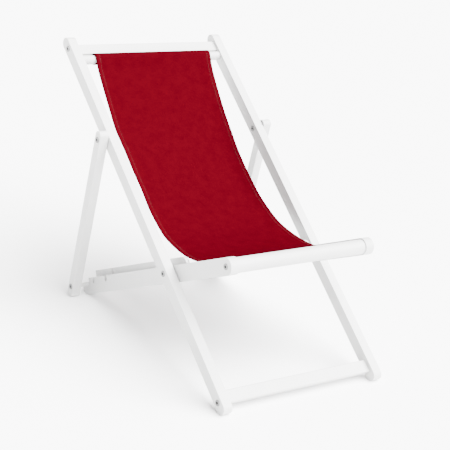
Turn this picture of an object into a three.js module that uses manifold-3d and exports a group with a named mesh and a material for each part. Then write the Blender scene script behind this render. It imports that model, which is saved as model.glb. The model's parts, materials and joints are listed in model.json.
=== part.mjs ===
// A folding sling deck chair in painted timber, set up in its lowest position.
// Three frames: the long back frame, the seat frame inside it and the rear prop outside it.
// X is across the chair, the sitter faces -Y, +Z is up and the feet stand on z = 0.
import * as THREE from "three";
import { mergeVertices } from "three/addons/utils/BufferGeometryUtils.js";
import Module from "manifold-3d";

const wasm = await Module();
wasm.setup();

// ---- Driving dimensions, in millimetres and radians ----
const DEGREE = Math.PI / 180;
const LEFT = -1;
const RIGHT = 1;
const SIDES = { left: LEFT, right: RIGHT };

const TIMBER = 27;              // thickness of every rail, board and strut across the chair
const FRAME_GAP = 2.4;          // air between neighbouring frames, across the chair
const FIT = 0.3;                // clearance between pieces that touch
const PIVOT_CLEARANCE = 0.8;    // radial clearance of a bolt in its hole

const LONG_WIDTH = 542;         // outer width of the long frame
const LONG_ANGLE = 35.74 * DEGREE;   // slope of the long rails
const LONG_DEPTH = 34.5;        // rail size seen from the side
const LONG_ABOVE = 799;         // seat pivot to the top end of a rail
const LONG_BELOW = 420;         // seat pivot to the foot of a rail
const PROP_PIVOT = 441;         // seat pivot to prop pivot, along the rail
const HEAD_BAR = { centre: 753.5, width: 34.6, thickness: 15, front: 8.3 };
const FOOT_BAR = { centre: -376, width: 36.5, thickness: 14.5, front: 6.3 };
const HEAD_BOLT = 762.5;        // seat pivot to the head bolts, along the rail
const FOOT_BOLT = -386.4;
const HEAD_DOWEL = { along: 720, radius: 13.5, socket: 12 };

const SEAT_ANGLE = 28.16 * DEGREE;   // slope of the seat boards, rising to the front
const SEAT_DEPTH = 47.3;
const SEAT_DROP = 4.7;          // how far the boards' middle line lies below the pivot
const SEAT_FRONT = 252;         // seat pivot to the front bar's axis
const SEAT_REAR = 500;          // seat pivot to the boards' rear ends
const FRONT_BAR_RADIUS = 20.5;
const SEAT_DOWEL = { along: 205, radius: 10, socket: 12 };
const PLATE = { thickness: 10, above: 19, below: 2, front: 35 };
const NOTCH = { width: 13.4, floor: 1.5, spare: [434, 360] };   // spare notches, from the seat pivot

const PROP_ANGLE = 83.46 * DEGREE;   // slope of the prop struts
const PROP_DEPTH = 27;
const PROP_ABOVE = 26;          // prop pivot to the top end of a strut
const PROP_ROD = { along: 480, radius: 6 };

const BOLT = { head: 9, headThickness: 1.5, shank: 3, socket: 4.6, socketDepth: 1.1 };
const BARREL = { outer: 4.2, bore: 3.4 };
const WASHER = { outer: 10, bore: 4.6, thickness: 1.6 };
const SCREW_LENGTH = 70;

const SLING = { width: 404, thickness: 3, steps: 28 };

// Finer constants
const ROUND_END_STEPS = 8;
const HOLE_STEPS = 12;
const BAR_STEPS = 32;
const EDGE_RADIUS = 3;
const EDGE_STEPS = 3;
const HEX = 6;

// ---- Places worked out from them ----
const longHalf = LONG_DEPTH / 2;
const seatHalf = SEAT_DEPTH / 2;
const propHalf = PROP_DEPTH / 2;
const pivotHeight = (LONG_BELOW - longHalf) * Math.sin(LONG_ANGLE) + longHalf;
const longOuter = LONG_WIDTH / 2;
const longInner = longOuter - TIMBER;
const seatOuter = longInner - FRAME_GAP;
const seatInner = seatOuter - TIMBER;
const plateOuter = seatInner - FIT;
const plateInner = plateOuter - PLATE.thickness;
const propInner = longOuter + FRAME_GAP;
const propOuter = propInner + TIMBER;

// Points and directions in the side view are (y, z) pairs, measured from the seat pivot.
const longUp = new THREE.Vector2(Math.cos(LONG_ANGLE), Math.sin(LONG_ANGLE));
const longFront = new THREE.Vector2(-longUp.y, longUp.x);
const seatForward = new THREE.Vector2(-Math.cos(SEAT_ANGLE), Math.sin(SEAT_ANGLE));
const seatTop = new THREE.Vector2(-seatForward.y, seatForward.x).negate();
const propDown = new THREE.Vector2(Math.cos(PROP_ANGLE), -Math.sin(PROP_ANGLE));
const propPivot = longUp.clone().multiplyScalar(PROP_PIVOT);
const rodPoint = propPivot.clone().addScaledVector(propDown, PROP_ROD.along);
const rodAlong = rodPoint.dot(seatForward);
const rodAbove = rodPoint.dot(seatTop);
const propBelow = (pivotHeight + propPivot.y - propHalf) / Math.sin(PROP_ANGLE) + propHalf;

// ---- Paint, metal and cloth ----
function painted() {
  return new THREE.MeshStandardMaterial({ color: 0xf1f0ee, roughness: 0.45, metalness: 0 });
}

function steel() {
  return new THREE.MeshStandardMaterial({ color: 0x8d8d8c, roughness: 0.35, metalness: 0.9 });
}

function canvas() {
  return new THREE.MeshStandardMaterial({ color: 0x9e1420, roughness: 0.9, metalness: 0 });
}

// ---- Joining and cutting ----
function solidOf(geometry) {
  const bare = geometry.clone();
  bare.deleteAttribute("normal");
  bare.deleteAttribute("uv");
  const merged = mergeVertices(bare, 1e-4);
  const mesh = new wasm.Mesh({
    numProp: 3,
    vertProperties: new Float32Array(merged.attributes.position.array),
    triVerts: new Uint32Array(merged.index.array),
  });
  return new wasm.Manifold(mesh);
}

function geometryOf(solid) {
  const mesh = solid.getMesh();
  const geometry = new THREE.BufferGeometry();
  geometry.setAttribute("position", new THREE.BufferAttribute(mesh.vertProperties, 3));
  geometry.setIndex(new THREE.BufferAttribute(mesh.triVerts, 1));
  const flat = geometry.toNonIndexed();
  flat.computeVertexNormals();
  return flat;
}

function cut(geometry, ...tools) {
  let solid = solidOf(geometry);
  for (const tool of tools) solid = solid.subtract(solidOf(tool));
  return geometryOf(solid);
}

// ---- Basic shapes; the side-view plane is (y, z) and pieces run along X ----
const sideToSpace = new THREE.Matrix4().makeBasis(
  new THREE.Vector3(0, 1, 0),
  new THREE.Vector3(0, 0, 1),
  new THREE.Vector3(1, 0, 0),
);

function slab(outline, fromX, toX) {
  const geometry = new THREE.ExtrudeGeometry(outline, {
    depth: toX - fromX,
    bevelEnabled: false,
    steps: 1,
    curveSegments: ROUND_END_STEPS,
  });
  return geometry.applyMatrix4(sideToSpace).translate(fromX, 0, 0);
}

function rod(radius, fromX, toX, y, z, steps = HOLE_STEPS) {
  const geometry = new THREE.CylinderGeometry(radius, radius, toX - fromX, steps);
  return geometry.rotateZ(Math.PI / 2).translate((fromX + toX) / 2, y, z);
}

function block(fromX, toX, fromY, toY, fromZ, toZ) {
  const geometry = new THREE.BoxGeometry(toX - fromX, toY - fromY, toZ - fromZ);
  return geometry.translate((fromX + toX) / 2, (fromY + toY) / 2, (fromZ + toZ) / 2);
}

// A bar across the chair with softened long edges, centred on (y, z).
function lath(y, z, thickness, width, length) {
  const r = EDGE_RADIUS;
  const a = thickness / 2;
  const b = width / 2;
  const outline = new THREE.Shape();
  outline.moveTo(y - a + r, z - b);
  outline.lineTo(y + a - r, z - b);
  outline.absarc(y + a - r, z - b + r, r, -Math.PI / 2, 0);
  outline.absarc(y + a - r, z + b - r, r, 0, Math.PI / 2);
  outline.absarc(y - a + r, z + b - r, r, Math.PI / 2, Math.PI);
  outline.absarc(y - a + r, z - b + r, r, Math.PI, 1.5 * Math.PI);
  const geometry = new THREE.ExtrudeGeometry(outline, {
    depth: length,
    bevelEnabled: false,
    curveSegments: EDGE_STEPS,
  });
  return geometry.applyMatrix4(sideToSpace).translate(-length / 2, 0, 0);
}

// A rail or strut along z with half-round ends.
function roundEnded(low, high, half) {
  const outline = new THREE.Shape();
  outline.absarc(0, high - half, half, 0, Math.PI);
  outline.absarc(0, low + half, half, Math.PI, 2 * Math.PI);
  outline.closePath();
  return outline;
}

// From the inner to the outer face of a timber on one side, lowest x first.
function span(side, inner, outer) {
  return side > 0 ? [inner, outer] : [-outer, -inner];
}

function piece(name, geometry, material) {
  const mesh = new THREE.Mesh(geometry, material);
  mesh.name = name;
  return mesh;
}

// ---- Fasteners: each lies along X with its head facing out on one side ----
// A flat-headed bolt with a hexagonal socket; the underside of the head is at headAt from the middle.
function bolt(side, headAt, length, y, z) {
  const profile = [
    new THREE.Vector2(0, -length),
    new THREE.Vector2(BOLT.shank, -length),
    new THREE.Vector2(BOLT.shank, 0),
    new THREE.Vector2(BOLT.head, 0),
    new THREE.Vector2(BOLT.head - 0.4, BOLT.headThickness),
    new THREE.Vector2(0, BOLT.headThickness),
  ];
  const blank = new THREE.LatheGeometry(profile, HOLE_STEPS);
  const socket = new THREE.CylinderGeometry(BOLT.socket, BOLT.socket, 2 * BOLT.socketDepth, HEX);
  socket.translate(0, BOLT.headThickness, 0);
  return cut(blank, socket).rotateZ(-side * Math.PI / 2).translate(side * headAt, y, z);
}

// A barrel nut: a flat head on the inner face with a sleeve that reaches out over the bolt.
function barrelNut(side, headAt, length, y, z) {
  const profile = [
    new THREE.Vector2(BARREL.bore, 0),
    new THREE.Vector2(BARREL.bore, -length),
    new THREE.Vector2(BARREL.outer, -length),
    new THREE.Vector2(BARREL.outer, 0),
    new THREE.Vector2(BOLT.head, 0),
    new THREE.Vector2(BOLT.head - 0.4, BOLT.headThickness),
    new THREE.Vector2(BARREL.bore, BOLT.headThickness),
    new THREE.Vector2(BARREL.bore, 0),
  ];
  const nut = new THREE.LatheGeometry(profile, HOLE_STEPS);
  return nut.rotateZ(side * Math.PI / 2).translate(side * headAt, y, z);
}

function washer(side, innerX, y, z) {
  const { outer, bore, thickness } = WASHER;
  const profile = [
    new THREE.Vector2(bore, 0),
    new THREE.Vector2(outer, 0),
    new THREE.Vector2(outer, thickness),
    new THREE.Vector2(bore, thickness),
    new THREE.Vector2(bore, 0),
  ];
  const ring = new THREE.LatheGeometry(profile, HOLE_STEPS);
  return ring.rotateZ(-side * Math.PI / 2).translate(side * innerX, y, z);
}

const headRest = FIT;                       // gap under every bolt head
const hole = BARREL.outer + PIVOT_CLEARANCE;
const screwHole = BOLT.shank + FIT;

// ---- Long back frame: local z runs up the rail, local -y faces the sitter ----
function longRail(side) {
  const [from, to] = span(side, longInner, longOuter);
  const rail = slab(roundEnded(-LONG_BELOW, LONG_ABOVE, longHalf), from, to);
  const socketDepth = longInner + HEAD_DOWEL.socket;
  const [socketFrom, socketTo] = span(side, longInner - 1, socketDepth);
  return cut(
    rail,
    rod(hole, from - 1, to + 1, 0, 0),
    rod(hole, from - 1, to + 1, 0, PROP_PIVOT),
    rod(screwHole, from - 1, to + 1, 0, HEAD_BOLT),
    rod(screwHole, from - 1, to + 1, 0, FOOT_BOLT),
    rod(HEAD_DOWEL.radius + FIT, socketFrom, socketTo, 0, HEAD_DOWEL.along, BAR_STEPS),
  );
}

function crossbar(bar, screwAt) {
  const length = 2 * (longInner - FIT);
  const middle = bar.thickness / 2 - bar.front;
  const plain = lath(middle, bar.centre, bar.thickness, bar.width, length);
  const drilled = [LEFT, RIGHT].map((side) => {
    const [from, to] = span(side, longOuter - SCREW_LENGTH - 1, longOuter);
    return rod(screwHole, from, to, 0, screwAt);
  });
  return cut(plain, ...drilled);
}

function headDowel() {
  const reach = longInner + HEAD_DOWEL.socket - FIT;
  return rod(HEAD_DOWEL.radius, -reach, reach, 0, HEAD_DOWEL.along, BAR_STEPS);
}

function longFrame() {
  const frame = new THREE.Group();
  frame.rotation.x = LONG_ANGLE - Math.PI / 2;
  for (const [name, side] of Object.entries(SIDES)) {
    frame.add(piece(`long_rail_${name}`, longRail(side), painted()));
    const top = bolt(side, longOuter + headRest, SCREW_LENGTH, 0, HEAD_BOLT);
    const foot = bolt(side, longOuter + headRest, SCREW_LENGTH, 0, FOOT_BOLT);
    frame.add(piece(`head_bolt_${name}`, top, steel()));
    frame.add(piece(`foot_bolt_${name}`, foot, steel()));
  }
  frame.add(piece("head_crossbar", crossbar(HEAD_BAR, HEAD_BOLT), painted()));
  frame.add(piece("foot_crossbar", crossbar(FOOT_BAR, FOOT_BOLT), painted()));
  frame.add(piece("head_dowel", headDowel(), painted()));
  return frame;
}

// ---- Pivot hardware, carried by the long frame ----
function pivotHardware() {
  const hardware = new THREE.Group();
  hardware.rotation.x = LONG_ANGLE - Math.PI / 2;
  const seatGrip = longOuter - plateInner;
  const propGrip = propOuter - longInner;
  const overlap = 12;
  for (const [name, side] of Object.entries(SIDES)) {
    const seatBolt = bolt(side, longOuter + headRest, seatGrip, 0, 0);
    const seatNut = barrelNut(side, plateInner - headRest, overlap, 0, 0);
    const propBolt = bolt(side, propOuter + headRest, propGrip, 0, PROP_PIVOT);
    const propNut = barrelNut(side, longInner - headRest, overlap, 0, PROP_PIVOT);
    hardware.add(piece(`seat_pivot_bolt_${name}`, seatBolt, steel()));
    hardware.add(piece(`seat_pivot_nut_${name}`, seatNut, steel()));
    hardware.add(piece(`prop_pivot_bolt_${name}`, propBolt, steel()));
    hardware.add(piece(`prop_pivot_nut_${name}`, propNut, steel()));
    const inset = (FRAME_GAP - WASHER.thickness) / 2;
    const seatWasher = washer(side, seatOuter + inset, 0, 0);
    const propWasher = washer(side, longOuter + inset, 0, PROP_PIVOT);
    hardware.add(piece(`seat_pivot_washer_${name}`, seatWasher, steel()));
    hardware.add(piece(`prop_pivot_washer_${name}`, propWasher, steel()));
  }
  return hardware;
}

// ---- Seat frame: local -y runs to the front bar, local z stands up from the boards' top edges ----
// The lowest notch is at the boards' rear ends and is open behind, so that the prop rod can leave it.
const notchFloor = rodAbove - PROP_ROD.radius - FIT;
const boardTop = seatHalf - SEAT_DROP;
const boardBottom = -seatHalf - SEAT_DROP;
const restNotch = -rodAlong;

function notchCutters(fromX, toX, top) {
  const half = NOTCH.width / 2;
  const cutters = [block(fromX, toX, restNotch - half, SEAT_REAR + 1, notchFloor, top + 1)];
  for (const y of NOTCH.spare) {
    const turn = NOTCH.floor + half;
    cutters.push(block(fromX, toX, y - half, y + half, turn, top + 1));
    cutters.push(rod(half, fromX, toX, y, turn, BAR_STEPS / 2));
  }
  return cutters;
}

// The ground, as a big block under the chair, in the seat frame's own axes.
function groundBlock() {
  const size = 2 * SEAT_REAR;
  const ground = block(-size, size, -size, size, -size, 0).translate(0, 0, -pivotHeight);
  return ground.rotateX(SEAT_ANGLE);
}

function seatBoard(side) {
  const [from, to] = span(side, seatInner, seatOuter);
  const outline = new THREE.Shape();
  outline.moveTo(SEAT_REAR, boardBottom);
  outline.lineTo(SEAT_REAR, boardTop);
  outline.lineTo(-SEAT_FRONT, boardTop);
  outline.absarc(-SEAT_FRONT, -SEAT_DROP, seatHalf, Math.PI / 2, 1.5 * Math.PI);
  outline.closePath();
  const [socketFrom, socketTo] = span(side, seatInner - 1, seatInner + SEAT_DOWEL.socket);
  return cut(
    slab(outline, from, to),
    rod(hole, from - 1, to + 1, 0, 0),
    rod(screwHole, from - 1, to + 1, -SEAT_FRONT, -SEAT_DROP),
    rod(SEAT_DOWEL.radius + FIT, socketFrom, socketTo, -SEAT_DOWEL.along, 0, BAR_STEPS),
    ...notchCutters(from - 1, to + 1, boardTop),
    groundBlock(),
  );
}

// A notched cheek plate on the inner face of a board, standing above its top edge.
function notchPlate(side) {
  const [from, to] = span(side, plateInner, plateOuter);
  const rear = restNotch - NOTCH.width / 2;
  const top = boardTop + PLATE.above;
  const bottom = boardBottom + PLATE.below;
  const corner = (top - bottom) / 3;
  const outline = new THREE.Shape();
  outline.moveTo(rear, bottom);
  outline.lineTo(rear, top);
  outline.lineTo(-PLATE.front + corner, top);
  outline.absarc(-PLATE.front + corner, top - corner, corner, Math.PI / 2, Math.PI);
  outline.lineTo(-PLATE.front, bottom);
  outline.closePath();
  return cut(
    slab(outline, from, to),
    rod(hole, from - 1, to + 1, 0, 0),
    ...notchCutters(from - 1, to + 1, top).slice(1),
    groundBlock().translate(0, 0, PLATE.below),
  );
}

function frontBar() {
  const reach = seatInner - FIT;
  const bar = rod(FRONT_BAR_RADIUS, -reach, reach, -SEAT_FRONT, -SEAT_DROP, BAR_STEPS);
  const drilled = [LEFT, RIGHT].map((side) => {
    const [from, to] = span(side, seatOuter - SCREW_LENGTH - 1, seatOuter);
    return rod(screwHole, from, to, -SEAT_FRONT, -SEAT_DROP);
  });
  return cut(bar, ...drilled);
}

function seatDowel() {
  const reach = seatInner + SEAT_DOWEL.socket - FIT;
  return rod(SEAT_DOWEL.radius, -reach, reach, -SEAT_DOWEL.along, 0, BAR_STEPS);
}

function seatFrame() {
  const frame = new THREE.Group();
  frame.rotation.x = -SEAT_ANGLE;
  for (const [name, side] of Object.entries(SIDES)) {
    frame.add(piece(`seat_board_${name}`, seatBoard(side), painted()));
    frame.add(piece(`notch_plate_${name}`, notchPlate(side), painted()));
    const screw = bolt(side, seatOuter + headRest, SCREW_LENGTH, -SEAT_FRONT, -SEAT_DROP);
    frame.add(piece(`front_bar_bolt_${name}`, screw, steel()));
  }
  frame.add(piece("front_bar", frontBar(), painted()));
  frame.add(piece("seat_dowel", seatDowel(), painted()));
  return frame;
}

// ---- Prop: local z runs up the struts, from the prop pivot ----
function propStrut(side) {
  const [from, to] = span(side, propInner, propOuter);
  return cut(
    slab(roundEnded(-propBelow, PROP_ABOVE, propHalf), from, to),
    rod(hole, from - 1, to + 1, 0, 0),
    rod(screwHole, from - 1, to + 1, 0, -PROP_ROD.along),
  );
}

function propRod() {
  const reach = propInner - FIT;
  const bar = rod(PROP_ROD.radius, -reach, reach, 0, -PROP_ROD.along, 2 * HOLE_STEPS);
  const drilled = [LEFT, RIGHT].map((side) => {
    const [from, to] = span(side, propOuter - SCREW_LENGTH - 1, propOuter);
    return rod(screwHole, from, to, 0, -PROP_ROD.along);
  });
  return cut(bar, ...drilled);
}

function prop() {
  const frame = new THREE.Group();
  frame.rotation.x = Math.PI / 2 - PROP_ANGLE;
  frame.position.set(0, propPivot.x, propPivot.y);
  for (const [name, side] of Object.entries(SIDES)) {
    frame.add(piece(`prop_strut_${name}`, propStrut(side), painted()));
    const screw = bolt(side, propOuter + headRest, SCREW_LENGTH, 0, -PROP_ROD.along);
    frame.add(piece(`prop_rod_bolt_${name}`, screw, steel()));
  }
  frame.add(piece("prop_rod", propRod(), painted()));
  return frame;
}

// ---- Sling: one cloth from the head dowel, down behind the rails, to the seat dowel ----
function slingPath() {
  const clear = SLING.thickness / 2 + 2 * FIT;
  const top = longUp.clone().multiplyScalar(HEAD_DOWEL.along);
  top.addScaledVector(longFront, HEAD_DOWEL.radius + clear + 1);
  const front = seatForward.clone().multiplyScalar(SEAT_DOWEL.along);
  front.addScaledVector(seatTop, SEAT_DOWEL.radius + clear);
  return new THREE.SplineCurve([
    top,
    new THREE.Vector2(507, 342),
    new THREE.Vector2(415, 246),
    new THREE.Vector2(304, 159),
    new THREE.Vector2(182, 82),
    new THREE.Vector2(80, 46),
    new THREE.Vector2(-12, 41),
    new THREE.Vector2(-80, 59),
    front,
  ]);
}

function sling() {
  const path = slingPath();
  const half = SLING.thickness / 2;
  const upper = [];
  const lower = [];
  for (let i = 0; i <= SLING.steps; i += 1) {
    const at = path.getPointAt(i / SLING.steps);
    const along = path.getTangentAt(i / SLING.steps);
    const across = new THREE.Vector2(-along.y, along.x);
    upper.push(at.clone().addScaledVector(across, half));
    lower.unshift(at.clone().addScaledVector(across, -half));
  }
  const outline = new THREE.Shape([...upper, ...lower]);
  return piece("sling", slab(outline, -SLING.width / 2, SLING.width / 2), canvas());
}

// ---- The whole chair, with its origin at the middle of its base ----
const chair = new THREE.Group();
chair.add(longFrame(), pivotHardware(), seatFrame(), prop(), sling());
chair.updateMatrixWorld(true);
const middle = new THREE.Box3().setFromObject(chair, true).getCenter(new THREE.Vector3());
chair.position.set(0, -middle.y, pivotHeight);
chair.updateMatrixWorld(true);

export default chair;
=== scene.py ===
import json
import math

import bpy
from mathutils import Matrix, Vector


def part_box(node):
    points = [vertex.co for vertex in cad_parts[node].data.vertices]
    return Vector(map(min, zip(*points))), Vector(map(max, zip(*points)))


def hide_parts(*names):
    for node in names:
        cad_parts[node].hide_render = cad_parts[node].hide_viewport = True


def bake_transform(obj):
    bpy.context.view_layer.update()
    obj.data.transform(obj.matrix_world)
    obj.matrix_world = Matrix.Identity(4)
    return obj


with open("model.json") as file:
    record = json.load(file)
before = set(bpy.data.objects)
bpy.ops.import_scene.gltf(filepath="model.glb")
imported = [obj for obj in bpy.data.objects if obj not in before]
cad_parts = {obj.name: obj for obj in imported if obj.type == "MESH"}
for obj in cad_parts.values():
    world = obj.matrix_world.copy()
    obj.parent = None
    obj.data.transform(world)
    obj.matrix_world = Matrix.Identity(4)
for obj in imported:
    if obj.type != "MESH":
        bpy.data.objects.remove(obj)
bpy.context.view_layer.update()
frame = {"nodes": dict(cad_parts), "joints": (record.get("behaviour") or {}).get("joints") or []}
nodes = frame["nodes"]
joints = {joint["name"]: joint for joint in frame["joints"]}
pivot = Vector(joints["seat_frame_fold"]["pos_m"])

# ---- Camera ----
CAMERA_PLACE = Vector((-2.1367, -2.5931, 1.4004))   # from the seat pivot
CAMERA_RIGHT = Vector((0.80949, -0.56976, 0.14175))
CAMERA_UP = Vector((0.10188, 0.37408, 0.92178))
CAMERA_LENS = 104.04
SENSOR = 36


def add_camera():
    data = bpy.data.cameras.new("camera")
    data.lens = CAMERA_LENS
    data.sensor_width = SENSOR
    camera = bpy.data.objects.new("camera", data)
    bpy.context.scene.collection.objects.link(camera)
    back = CAMERA_RIGHT.cross(CAMERA_UP).normalized()
    up = back.cross(CAMERA_RIGHT).normalized()
    turn = Matrix((CAMERA_RIGHT.normalized(), up, back)).transposed().to_4x4()
    camera.matrix_world = Matrix.Translation(pivot + CAMERA_PLACE) @ turn
    bpy.context.scene.camera = camera


add_camera()

# ---- Materials ----


def shader_of(name, colour, roughness, metallic=0.0):
    """A new node material with its shader set; returns the material, its node tree and the shader."""
    material = bpy.data.materials.new(name)
    material.use_nodes = True
    tree = material.node_tree
    shader = tree.nodes["Principled BSDF"]
    shader.inputs["Base Color"].default_value = (*colour, 1)
    shader.inputs["Roughness"].default_value = roughness
    shader.inputs["Metallic"].default_value = metallic
    return material, tree, shader


def object_position(tree, scale):
    place = tree.nodes.new("ShaderNodeTexCoord")
    mapping = tree.nodes.new("ShaderNodeMapping")
    mapping.inputs["Scale"].default_value = scale
    tree.links.new(place.outputs["Object"], mapping.inputs["Vector"])
    return mapping.outputs["Vector"]


def noise(tree, vector, scale, detail=4.0, roughness=0.5):
    texture = tree.nodes.new("ShaderNodeTexNoise")
    texture.inputs["Scale"].default_value = scale
    texture.inputs["Detail"].default_value = detail
    texture.inputs["Roughness"].default_value = roughness
    tree.links.new(vector, texture.inputs["Vector"])
    return texture.outputs["Fac"]


def ramp(tree, factor, stops):
    node = tree.nodes.new("ShaderNodeValToRGB")
    node.color_ramp.elements[0].position = stops[0][0]
    node.color_ramp.elements[0].color = (*stops[0][1], 1)
    node.color_ramp.elements[1].position = stops[-1][0]
    node.color_ramp.elements[1].color = (*stops[-1][1], 1)
    for position, colour in stops[1:-1]:
        element = node.color_ramp.elements.new(position)
        element.color = (*colour, 1)
    tree.links.new(factor, node.inputs["Fac"])
    return node.outputs["Color"]


def bump(tree, shader, height, strength, distance):
    node = tree.nodes.new("ShaderNodeBump")
    node.inputs["Strength"].default_value = strength
    node.inputs["Distance"].default_value = distance
    tree.links.new(height, node.inputs["Height"])
    tree.links.new(node.outputs["Normal"], shader.inputs["Normal"])


PAINT = (0.51, 0.51, 0.505)


def painted_wood(name, grain):
    """White satin paint over timber; grain is the direction scale that stretches the grain lines."""
    material, tree, shader = shader_of(name, PAINT, 0.42)
    stretched = object_position(tree, grain)
    lines = noise(tree, stretched, 60, 5, 0.55)
    patches = noise(tree, object_position(tree, (1, 1, 1)), 6, 3, 0.5)
    tint = ramp(tree, patches, [(0.3, (0.49, 0.49, 0.485)), (0.7, (0.53, 0.53, 0.525))])
    tree.links.new(tint, shader.inputs["Base Color"])
    gloss = ramp(tree, lines, [(0.3, (0.36, 0.36, 0.36)), (0.7, (0.5, 0.5, 0.5))])
    tree.links.new(gloss, shader.inputs["Roughness"])
    bump(tree, shader, lines, 0.12, 0.0008)
    return material


def steel(name, dark, light):
    material, tree, shader = shader_of(name, light, 0.35, 0.9)
    scratches = noise(tree, object_position(tree, (1, 1, 1)), 900, 3, 0.6)
    tint = ramp(tree, scratches, [(0.3, dark), (0.7, light)])
    tree.links.new(tint, shader.inputs["Base Color"])
    bump(tree, shader, scratches, 0.1, 0.0002)
    return material


# Deep colours: the view transform lifts and greys them
CLOTH = (0.028, 0.0005, 0.0018)
CLOTH_DARK = (0.018, 0.0003, 0.0012)
CLOTH_LIGHT = (0.036, 0.0007, 0.0024)
HEM_DARK = (0.020, 0.0004, 0.0014)
HEM_LIGHT = (0.041, 0.0008, 0.0027)
MOTTLE = 0.6             # how much the broad blotches count beside the weave


def woven(name, dark, light):
    """Plain canvas: two fine sets of threads that cross, from the cloth's own UV map in metres."""
    material, tree, shader = shader_of(name, CLOTH, 0.85)
    uv = tree.nodes.new("ShaderNodeUVMap")
    uv.uv_map = "cloth"
    threads = []
    for direction in ("X", "Y"):
        wave = tree.nodes.new("ShaderNodeTexWave")
        wave.bands_direction = direction
        wave.inputs["Scale"].default_value = 190
        wave.inputs["Distortion"].default_value = 0.8
        wave.inputs["Detail"].default_value = 1
        wave.inputs["Detail Scale"].default_value = 2
        tree.links.new(uv.outputs["UV"], wave.inputs["Vector"])
        threads.append(wave.outputs["Fac"])
    weave = tree.nodes.new("ShaderNodeMath")
    weave.operation = "MULTIPLY"
    tree.links.new(threads[0], weave.inputs[0])
    tree.links.new(threads[1], weave.inputs[1])
    slubs = noise(tree, uv.outputs["UV"], 260, 3, 0.6)
    both = tree.nodes.new("ShaderNodeMath")
    both.operation = "ADD"
    tree.links.new(weave.outputs[0], both.inputs[0])
    tree.links.new(slubs, both.inputs[1])
    half = tree.nodes.new("ShaderNodeMath")
    half.operation = "MULTIPLY"
    half.inputs[1].default_value = 0.5
    tree.links.new(both.outputs[0], half.inputs[0])
    mottle = noise(tree, uv.outputs["UV"], 34, 5, 0.65)
    mixed = tree.nodes.new("ShaderNodeMath")
    mixed.operation = "MULTIPLY_ADD"
    mixed.inputs[1].default_value = MOTTLE
    tree.links.new(mottle, mixed.inputs[0])
    tree.links.new(half.outputs[0], mixed.inputs[2])
    tint = ramp(tree, mixed.outputs[0], [(0.27, dark), (0.92, light)])
    tree.links.new(tint, shader.inputs["Base Color"])
    bump(tree, shader, both.outputs[0], 0.35, 0.0006)
    shader.inputs["Specular IOR Level"].default_value = 0.0
    return material


def stitching(name):
    material, tree, shader = shader_of(name, (0.024, 0.0001, 0.0008), 0.7)
    twist = noise(tree, object_position(tree, (1, 1, 1)), 1500, 2, 0.5)
    bump(tree, shader, twist, 0.5, 0.0003)
    return material


# ---- The CAD pieces that stay: painted timber with eased edges, and steel ----
ALONG_LENGTH = 0.05
GRAIN = {
    "across": (ALONG_LENGTH, 1, 1),
    "along": (1, ALONG_LENGTH * 2, ALONG_LENGTH * 2),
}
wood = {key: painted_wood(f"painted_wood_{key}", scale) for key, scale in GRAIN.items()}
metal = steel("bolt_steel", (0.10, 0.10, 0.10), (0.22, 0.22, 0.22))
# Near-black steel for the bolt sockets: painted shade in the recess, not a darker metal
socket_painted_shade = steel("bolt_socket_painted_shade", (0.002, 0.002, 0.002), (0.006, 0.006, 0.006))
SOCKET_RADIUS = 0.0048   # faces nearer the bolt's axis than this are the socket
TIMBERS = ("long_rail", "seat_board", "notch_plate", "prop_strut")
BARS = ("head_crossbar", "foot_crossbar", "head_dowel", "front_bar", "seat_dowel", "prop_rod")
EDGE = {"long_rail": 0.0030, "seat_board": 0.0030, "notch_plate": 0.0014, "prop_strut": 0.0030}


def ease_edges(piece, width):
    bevel = piece.modifiers.new("eased_edges", "BEVEL")
    bevel.width = width
    bevel.segments = 3
    bevel.limit_method = "ANGLE"
    bevel.angle_limit = math.radians(50)


def smooth_by_angle(piece, degrees):
    for polygon in piece.data.polygons:
        polygon.use_smooth = True
    piece.data.set_sharp_from_angle(angle=math.radians(degrees))


def dress(piece, material):
    piece.data.materials.clear()
    piece.data.materials.append(material)
    for polygon in piece.data.polygons:
        polygon.material_index = 0


def paint_socket_shade(piece):
    """The inside of a bolt's hexagonal socket, or a barrel nut's bore, is painted near-black: painted
    shade in the recess.
    """
    low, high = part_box(piece.name)
    axis = (low + high) / 2
    piece.data.materials.append(socket_painted_shade)
    for polygon in piece.data.polygons:
        away = (polygon.center - axis).yz.length
        if away < SOCKET_RADIUS:
            polygon.material_index = 1


for name, node in nodes.items():
    stem = name.rsplit("_", 1)[0]
    if name == "sling":
        continue
    if name in BARS:
        dress(node, wood["across"])
        smooth_by_angle(node, 35)
    elif stem in TIMBERS:
        dress(node, wood["along"])
        smooth_by_angle(node, 35)
        ease_edges(node, EDGE[stem])
    else:
        dress(node, metal)
        smooth_by_angle(node, 40)
        paint_socket_shade(node)

# ---- Sling ----
LONG_ANGLE = math.radians(35.74)
SEAT_ANGLE = math.radians(28.16)
long_up = Vector((0, math.cos(LONG_ANGLE), math.sin(LONG_ANGLE)))
long_front = Vector((0, -math.sin(LONG_ANGLE), math.cos(LONG_ANGLE)))
seat_forward = Vector((0, -math.cos(SEAT_ANGLE), math.sin(SEAT_ANGLE)))
seat_top = Vector((0, math.sin(SEAT_ANGLE), math.cos(SEAT_ANGLE)))
HEAD_DOWEL_ALONG = 0.720
HEAD_DOWEL_RADIUS = 0.0135
SEAT_DOWEL_ALONG = 0.205
SEAT_DOWEL_RADIUS = 0.010
CLOTH_GAP = 0.0012
# Round the head dowel: degrees from up the rail towards the sitter, and the gap to the dowel
SLEEVE = [(-190, 0.0014), (-150, 0.0013), (-110, 0.0012), (-70, 0.0012), (-35, 0.0012), (-5, 0.0014),
          (20, 0.0032), (38, 0.0044), (60, 0.0044), (85, 0.0036), (110, 0.0026)]
SEAT_WRAP = (62, 330, 12)   # round the seat dowel: first and last angle, and the steps between
SLING_WIDTH = 0.407
CLOTH_THICKNESS = 0.0012
HEM_WIDTH = 0.0145
ACROSS = 56              # faces across the cloth
ALONG = 150              # and along it
CURVE_STEPS = 8          # points between two of the side view's points
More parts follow.
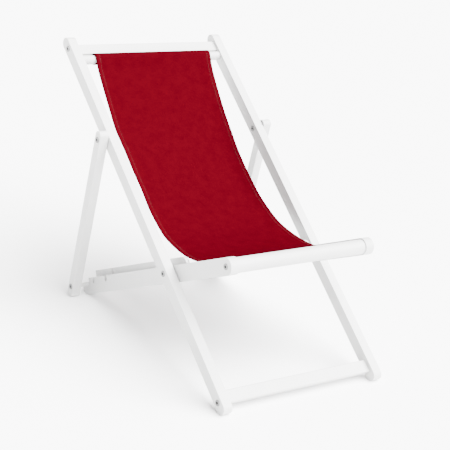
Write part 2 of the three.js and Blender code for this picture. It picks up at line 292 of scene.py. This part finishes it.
# Side view of the sling's two edges below the head dowel: (y, z) from the seat pivot, in metres
LEFT_EDGE = [(0.551, 0.398), (0.509, 0.351), (0.465, 0.304), (0.421, 0.259), (0.362, 0.218),
             (0.307, 0.177), (0.251, 0.138), (0.199, 0.098), (0.137, 0.064), (0.094, 0.050),
             (0.019, 0.042), (-0.045, 0.049), (-0.105, 0.066)]
RIGHT_EDGE = [(0.545, 0.386), (0.503, 0.335), (0.458, 0.285), (0.409, 0.237), (0.359, 0.190),
              (0.302, 0.146), (0.240, 0.105), (0.205, 0.086), (0.145, 0.061), (0.098, 0.049),
              (0.030, 0.043), (-0.044, 0.047), (-0.105, 0.066)]


def around(centre, radius, start, end, steps):
    """Points on a circle in the side view; angles in degrees from +Y towards +Z."""
    points = []
    for i in range(steps + 1):
        a = math.radians(start + (end - start) * i / steps)
        points.append(centre + Vector((0, math.cos(a), math.sin(a))) * radius)
    return points


def sleeve(centre):
    """The loose sleeve round the head dowel, fuller on the sitter's side, under the crossbar."""
    points = []
    for degrees, gap in SLEEVE:
        a = math.radians(degrees)
        out = long_up * math.cos(a) + long_front * math.sin(a)
        points.append(centre + out * (HEAD_DOWEL_RADIUS + gap))
    return points


def side_curve(edge):
    """The cloth's side view: round the head dowel, down the sag and round the seat dowel."""
    head = pivot + long_up * HEAD_DOWEL_ALONG
    seat = pivot + seat_forward * SEAT_DOWEL_ALONG
    seat_radius = SEAT_DOWEL_RADIUS + CLOTH_GAP
    middle = [pivot + Vector((0, y, z)) for y, z in edge]
    return sleeve(head) + middle + around(seat, seat_radius, *SEAT_WRAP)


def catmull(points, steps):
    """A smooth line through the points."""
    line = []
    for i in range(len(points) - 1):
        a = points[max(i - 1, 0)]
        b = points[i]
        c = points[i + 1]
        d = points[min(i + 2, len(points) - 1)]
        for k in range(steps):
            t = k / steps
            line.append(0.5 * ((2 * b) + (c - a) * t + (2 * a - 5 * b + 4 * c - d) * t * t
                               + (3 * b - a - 3 * c + d) * t ** 3))
    line.append(points[-1].copy())
    return line


def evenly(line, count):
    """count + 1 points spaced evenly along the line, and the line's length."""
    lengths = [0.0]
    for a, b in zip(line, line[1:]):
        lengths.append(lengths[-1] + (b - a).length)
    total = lengths[-1]
    out = []
    k = 0
    for i in range(count + 1):
        want = total * i / count
        while k < len(line) - 2 and lengths[k + 1] < want:
            k += 1
        share = (want - lengths[k]) / max(lengths[k + 1] - lengths[k], 1e-9)
        out.append(line[k].lerp(line[k + 1], min(max(share, 0), 1)))
    return out, total


def cloth_line(edge):
    return evenly(catmull(side_curve(edge), CURVE_STEPS), ALONG)


BELLY = 0.003            # how far the middle of the cloth hangs below its edges
BELLY_START = 0.08       # share of the length that lies on the head dowel
BELLY_SPAN = 0.84


def belly_drop(t, u):
    """How far the cloth hangs at the share t of its length and u of its width."""
    run = min(max((t - BELLY_START) / BELLY_SPAN, 0), 1)
    return BELLY * math.sin(math.pi * u) * math.sin(math.pi * run)


def cloth_point(left, right, i, u):
    """The cloth at the row i of its length and the share u of its width."""
    point = left[i].lerp(right[i], u)
    return point + Vector(((u - 0.5) * SLING_WIDTH, 0, -belly_drop(i / ALONG, u)))


def build_sling():
    left, left_length = cloth_line(LEFT_EDGE)
    right, right_length = cloth_line(RIGHT_EDGE)
    length = (left_length + right_length) / 2
    verts = []
    for i in range(ALONG + 1):
        for j in range(ACROSS + 1):
            verts.append(cloth_point(left, right, i, j / ACROSS))
    row = ACROSS + 1
    faces = []
    for i in range(ALONG):
        for j in range(ACROSS):
            a = i * row + j
            faces.append((a, a + 1, a + row + 1, a + row))
    mesh = bpy.data.meshes.new("sling_cloth")
    mesh.from_pydata(verts, [], faces)
    uv = mesh.uv_layers.new(name="cloth")
    for loop in mesh.loops:
        i, j = divmod(loop.vertex_index, row)
        uv.data[loop.index].uv = (j / ACROSS * SLING_WIDTH, i / ALONG * length)
    cloth = bpy.data.objects.new("sling_cloth", mesh)
    bpy.context.scene.collection.objects.link(cloth)
    for polygon in mesh.polygons:
        polygon.use_smooth = True
    mesh.materials.append(woven("sling_weave", CLOTH_DARK, CLOTH_LIGHT))
    mesh.materials.append(woven("sling_hem", HEM_DARK, HEM_LIGHT))
    hem_columns = HEM_WIDTH / SLING_WIDTH * ACROSS
    for polygon in mesh.polygons:
        j = polygon.index % ACROSS
        if j < hem_columns - 0.5 or j >= ACROSS - hem_columns + 0.5:
            polygon.material_index = 1
    thick = cloth.modifiers.new("thickness", "SOLIDIFY")
    thick.thickness = CLOTH_THICKNESS
    thick.offset = 0
    return cloth, length, left, right


def apply_modifiers(piece):
    graph = bpy.context.evaluated_depsgraph_get()
    mesh = bpy.data.meshes.new_from_object(piece.evaluated_get(graph))
    piece.modifiers.clear()
    piece.data = mesh


sling, sling_length, left_line, right_line = build_sling()
apply_modifiers(sling)


STITCH_LENGTH = 0.0022
STITCH_HALF_WIDTH = 0.00035
STITCH_HEIGHT = 0.0005
STITCH_LIFT = 0.0001
HEM_STITCH = 0.93        # share of the hem's width at which it is sewn


def stitch_row(name, u):
    """A row of short stitches along the cloth at the share u of its width."""
    data = bpy.data.meshes.new(name)
    verts = []
    faces = []
    line = [cloth_point(left_line, right_line, i, u) for i in range(ALONG + 1)]
    length = sum((b - a).length for a, b in zip(line, line[1:]))
    fine, _ = evenly(line, int(length / STITCH_LENGTH))
    for i in range(1, len(fine) - 2, 2):
        a = fine[i]
        b = fine[i + 1]
        run = (b - a).normalized()
        out = Vector((1, 0, 0)).cross(run).normalized()
        if out.z < 0 and abs(out.z) > 0.2:
            out = -out
        lift = out * (CLOTH_THICKNESS / 2 + STITCH_LIFT)
        side = Vector((STITCH_HALF_WIDTH, 0, 0))
        base = len(verts)
        for point, high in ((a, 0.0), ((a + b) / 2, STITCH_HEIGHT), (b, 0.0)):
            verts += [point + lift - side, point + lift + out * high, point + lift + side]
        for k in (0, 3):
            faces += [(base + k, base + k + 1, base + k + 4, base + k + 3)]
            faces += [(base + k + 1, base + k + 2, base + k + 5, base + k + 4)]
    data.from_pydata(verts, [], faces)
    piece = bpy.data.objects.new(name, data)
    bpy.context.scene.collection.objects.link(piece)
    data.materials.append(thread)
    return piece


thread = stitching("hem_thread")
stitches = [
    stitch_row("hem_stitches_left", HEM_WIDTH / SLING_WIDTH * HEM_STITCH),
    stitch_row("hem_stitches_right", 1 - HEM_WIDTH / SLING_WIDTH * HEM_STITCH),
]

# Bake the cloth and its stitches into world space, and hide the CAD sling they replace
for piece in [sling, *stitches]:
    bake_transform(piece)
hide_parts("sling")

# ---- Floor and light ----
FLOOR_HALF_SIZE = 40
FLOOR_DROP = 0.0005      # keeps the floor's face clear of the feet
WORLD_STRENGTH = 1.2
SUN_DIRECTION = Vector((0.42, -0.45, 0.79))
SUN_STRENGTH = 34
SUN_SPREAD = 75


def add_floor():
    mesh = bpy.data.meshes.new("floor")
    s = FLOOR_HALF_SIZE
    mesh.from_pydata([(-s, -s, 0), (s, -s, 0), (s, s, 0), (-s, s, 0)], [], [(0, 1, 2, 3)])
    floor = bpy.data.objects.new("floor", mesh)
    bpy.context.scene.collection.objects.link(floor)
    material, _, shader = shader_of("floor", (0.97, 0.97, 0.97), 0.9)
    shader.inputs["Specular IOR Level"].default_value = 0.0
    mesh.materials.append(material)
    floor.location.z = -FLOOR_DROP


def add_world(strength):
    world = bpy.data.worlds.new("studio")
    world.use_nodes = True
    background = world.node_tree.nodes["Background"]
    background.inputs["Color"].default_value = (1, 1, 1, 1)
    background.inputs["Strength"].default_value = strength
    bpy.context.scene.world = world


def add_sun(direction, strength, spread):
    """A broad soft sun; direction points from the chair to the light."""
    data = bpy.data.lights.new("sun", "SUN")
    data.energy = strength
    data.angle = math.radians(spread)
    light = bpy.data.objects.new("sun", data)
    bpy.context.scene.collection.objects.link(light)
    light.rotation_euler = direction.to_track_quat("Z", "Y").to_euler()


add_floor()
add_world(WORLD_STRENGTH)
add_sun(SUN_DIRECTION, SUN_STRENGTH, SUN_SPREAD)
